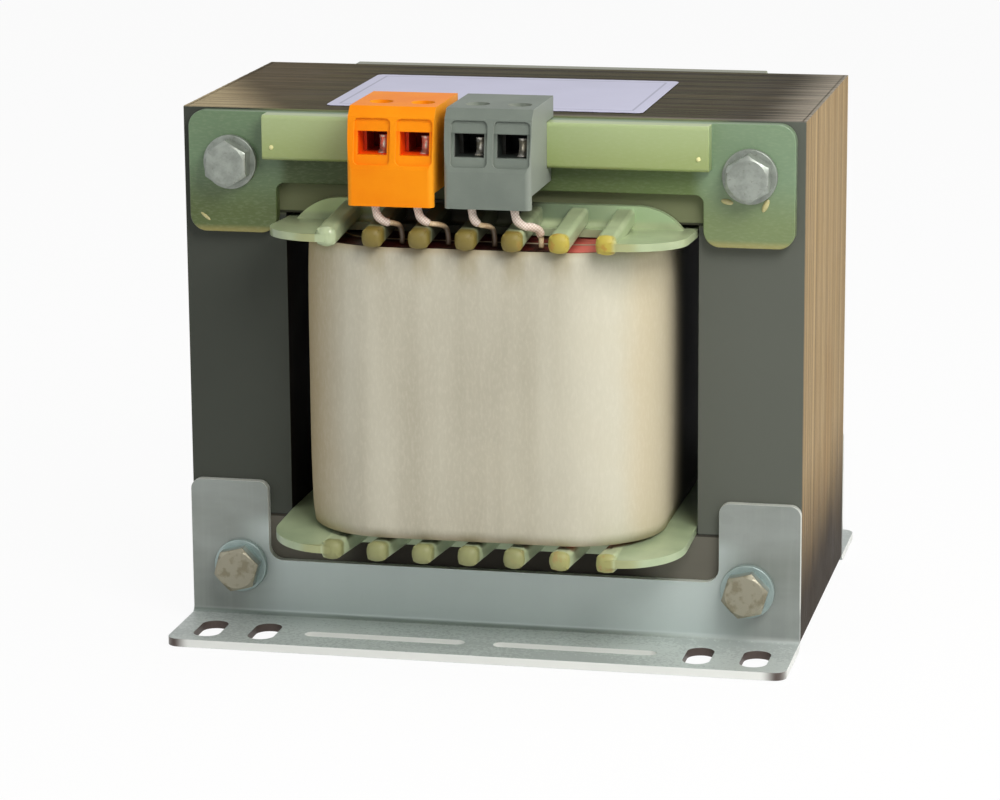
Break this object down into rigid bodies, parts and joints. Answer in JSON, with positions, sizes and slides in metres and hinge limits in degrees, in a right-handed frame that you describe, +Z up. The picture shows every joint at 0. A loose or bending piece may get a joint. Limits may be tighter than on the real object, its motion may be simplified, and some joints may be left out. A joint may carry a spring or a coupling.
{
  "type": "chassis-mounting control transformer",
  "caption": "Laminated-core power transformer on sheet-steel foot brackets, with a wrapped coil on a finned former, bolted terminal carriers and clip-on terminal blocks.",
  "frame": {"origin": "middle of the footprint, on the underside of the foot brackets", "axes": "+X to the right as seen from the terminal side, +Y away from the terminal side, +Z up"},
  "size_m": [0.15, 0.135, 0.1318],
  "materials": {
    "core_steel": "varnished lamination steel, satin",
    "former_plastic": "pale green moulded plastic, slightly translucent",
    "winding_copper": "red-brown enamelled copper wire",
    "coil_paper": "cream insulating wrap, satin",
    "carrier_plastic": "green moulded plastic, satin",
    "bracket_sheet": "galvanised sheet",
    "zinc_fastener": "zinc plated",
    "orange_plastic": "orange moulded plastic, satin",
    "grey_plastic": "grey moulded plastic, satin",
    "clamp_metal": "plated steel",
    "lead_sleeve": "white woven sleeving"
  },
  "bodies": {
    "root": {"core_e_stack": "core_steel", "core_i_stack": "core_steel", "bobbin_tube": "former_plastic", "upper_flange": "former_plastic", "lower_flange": "former_plastic", "primary_winding": "winding_copper", "winding_barrier": "coil_paper", "secondary_winding": "winding_copper", "outer_wrap": "coil_paper", "front_carrier": "carrier_plastic", "rear_carrier": "carrier_plastic", "front_bracket": "bracket_sheet", "rear_bracket": "bracket_sheet", "upper_left_bolt": "zinc_fastener", "upper_right_bolt": "zinc_fastener", "lower_left_bolt": "zinc_fastener", "lower_right_bolt": "zinc_fastener", "front_washers": "zinc_fastener", "rear_washers": "zinc_fastener", "upper_left_nut": "zinc_fastener", "upper_right_nut": "zinc_fastener", "lower_left_nut": "zinc_fastener", "lower_right_nut": "zinc_fastener", "orange_block": "orange_plastic", "grey_block": "grey_plastic", "orange_clamps": "clamp_metal", "grey_clamps": "clamp_metal", "orange_screws": "clamp_metal", "grey_screws": "clamp_metal", "orange_left_lead": "lead_sleeve", "orange_right_lead": "lead_sleeve", "grey_left_lead": "lead_sleeve", "grey_right_lead": "lead_sleeve"}
  },
  "joints": []
}
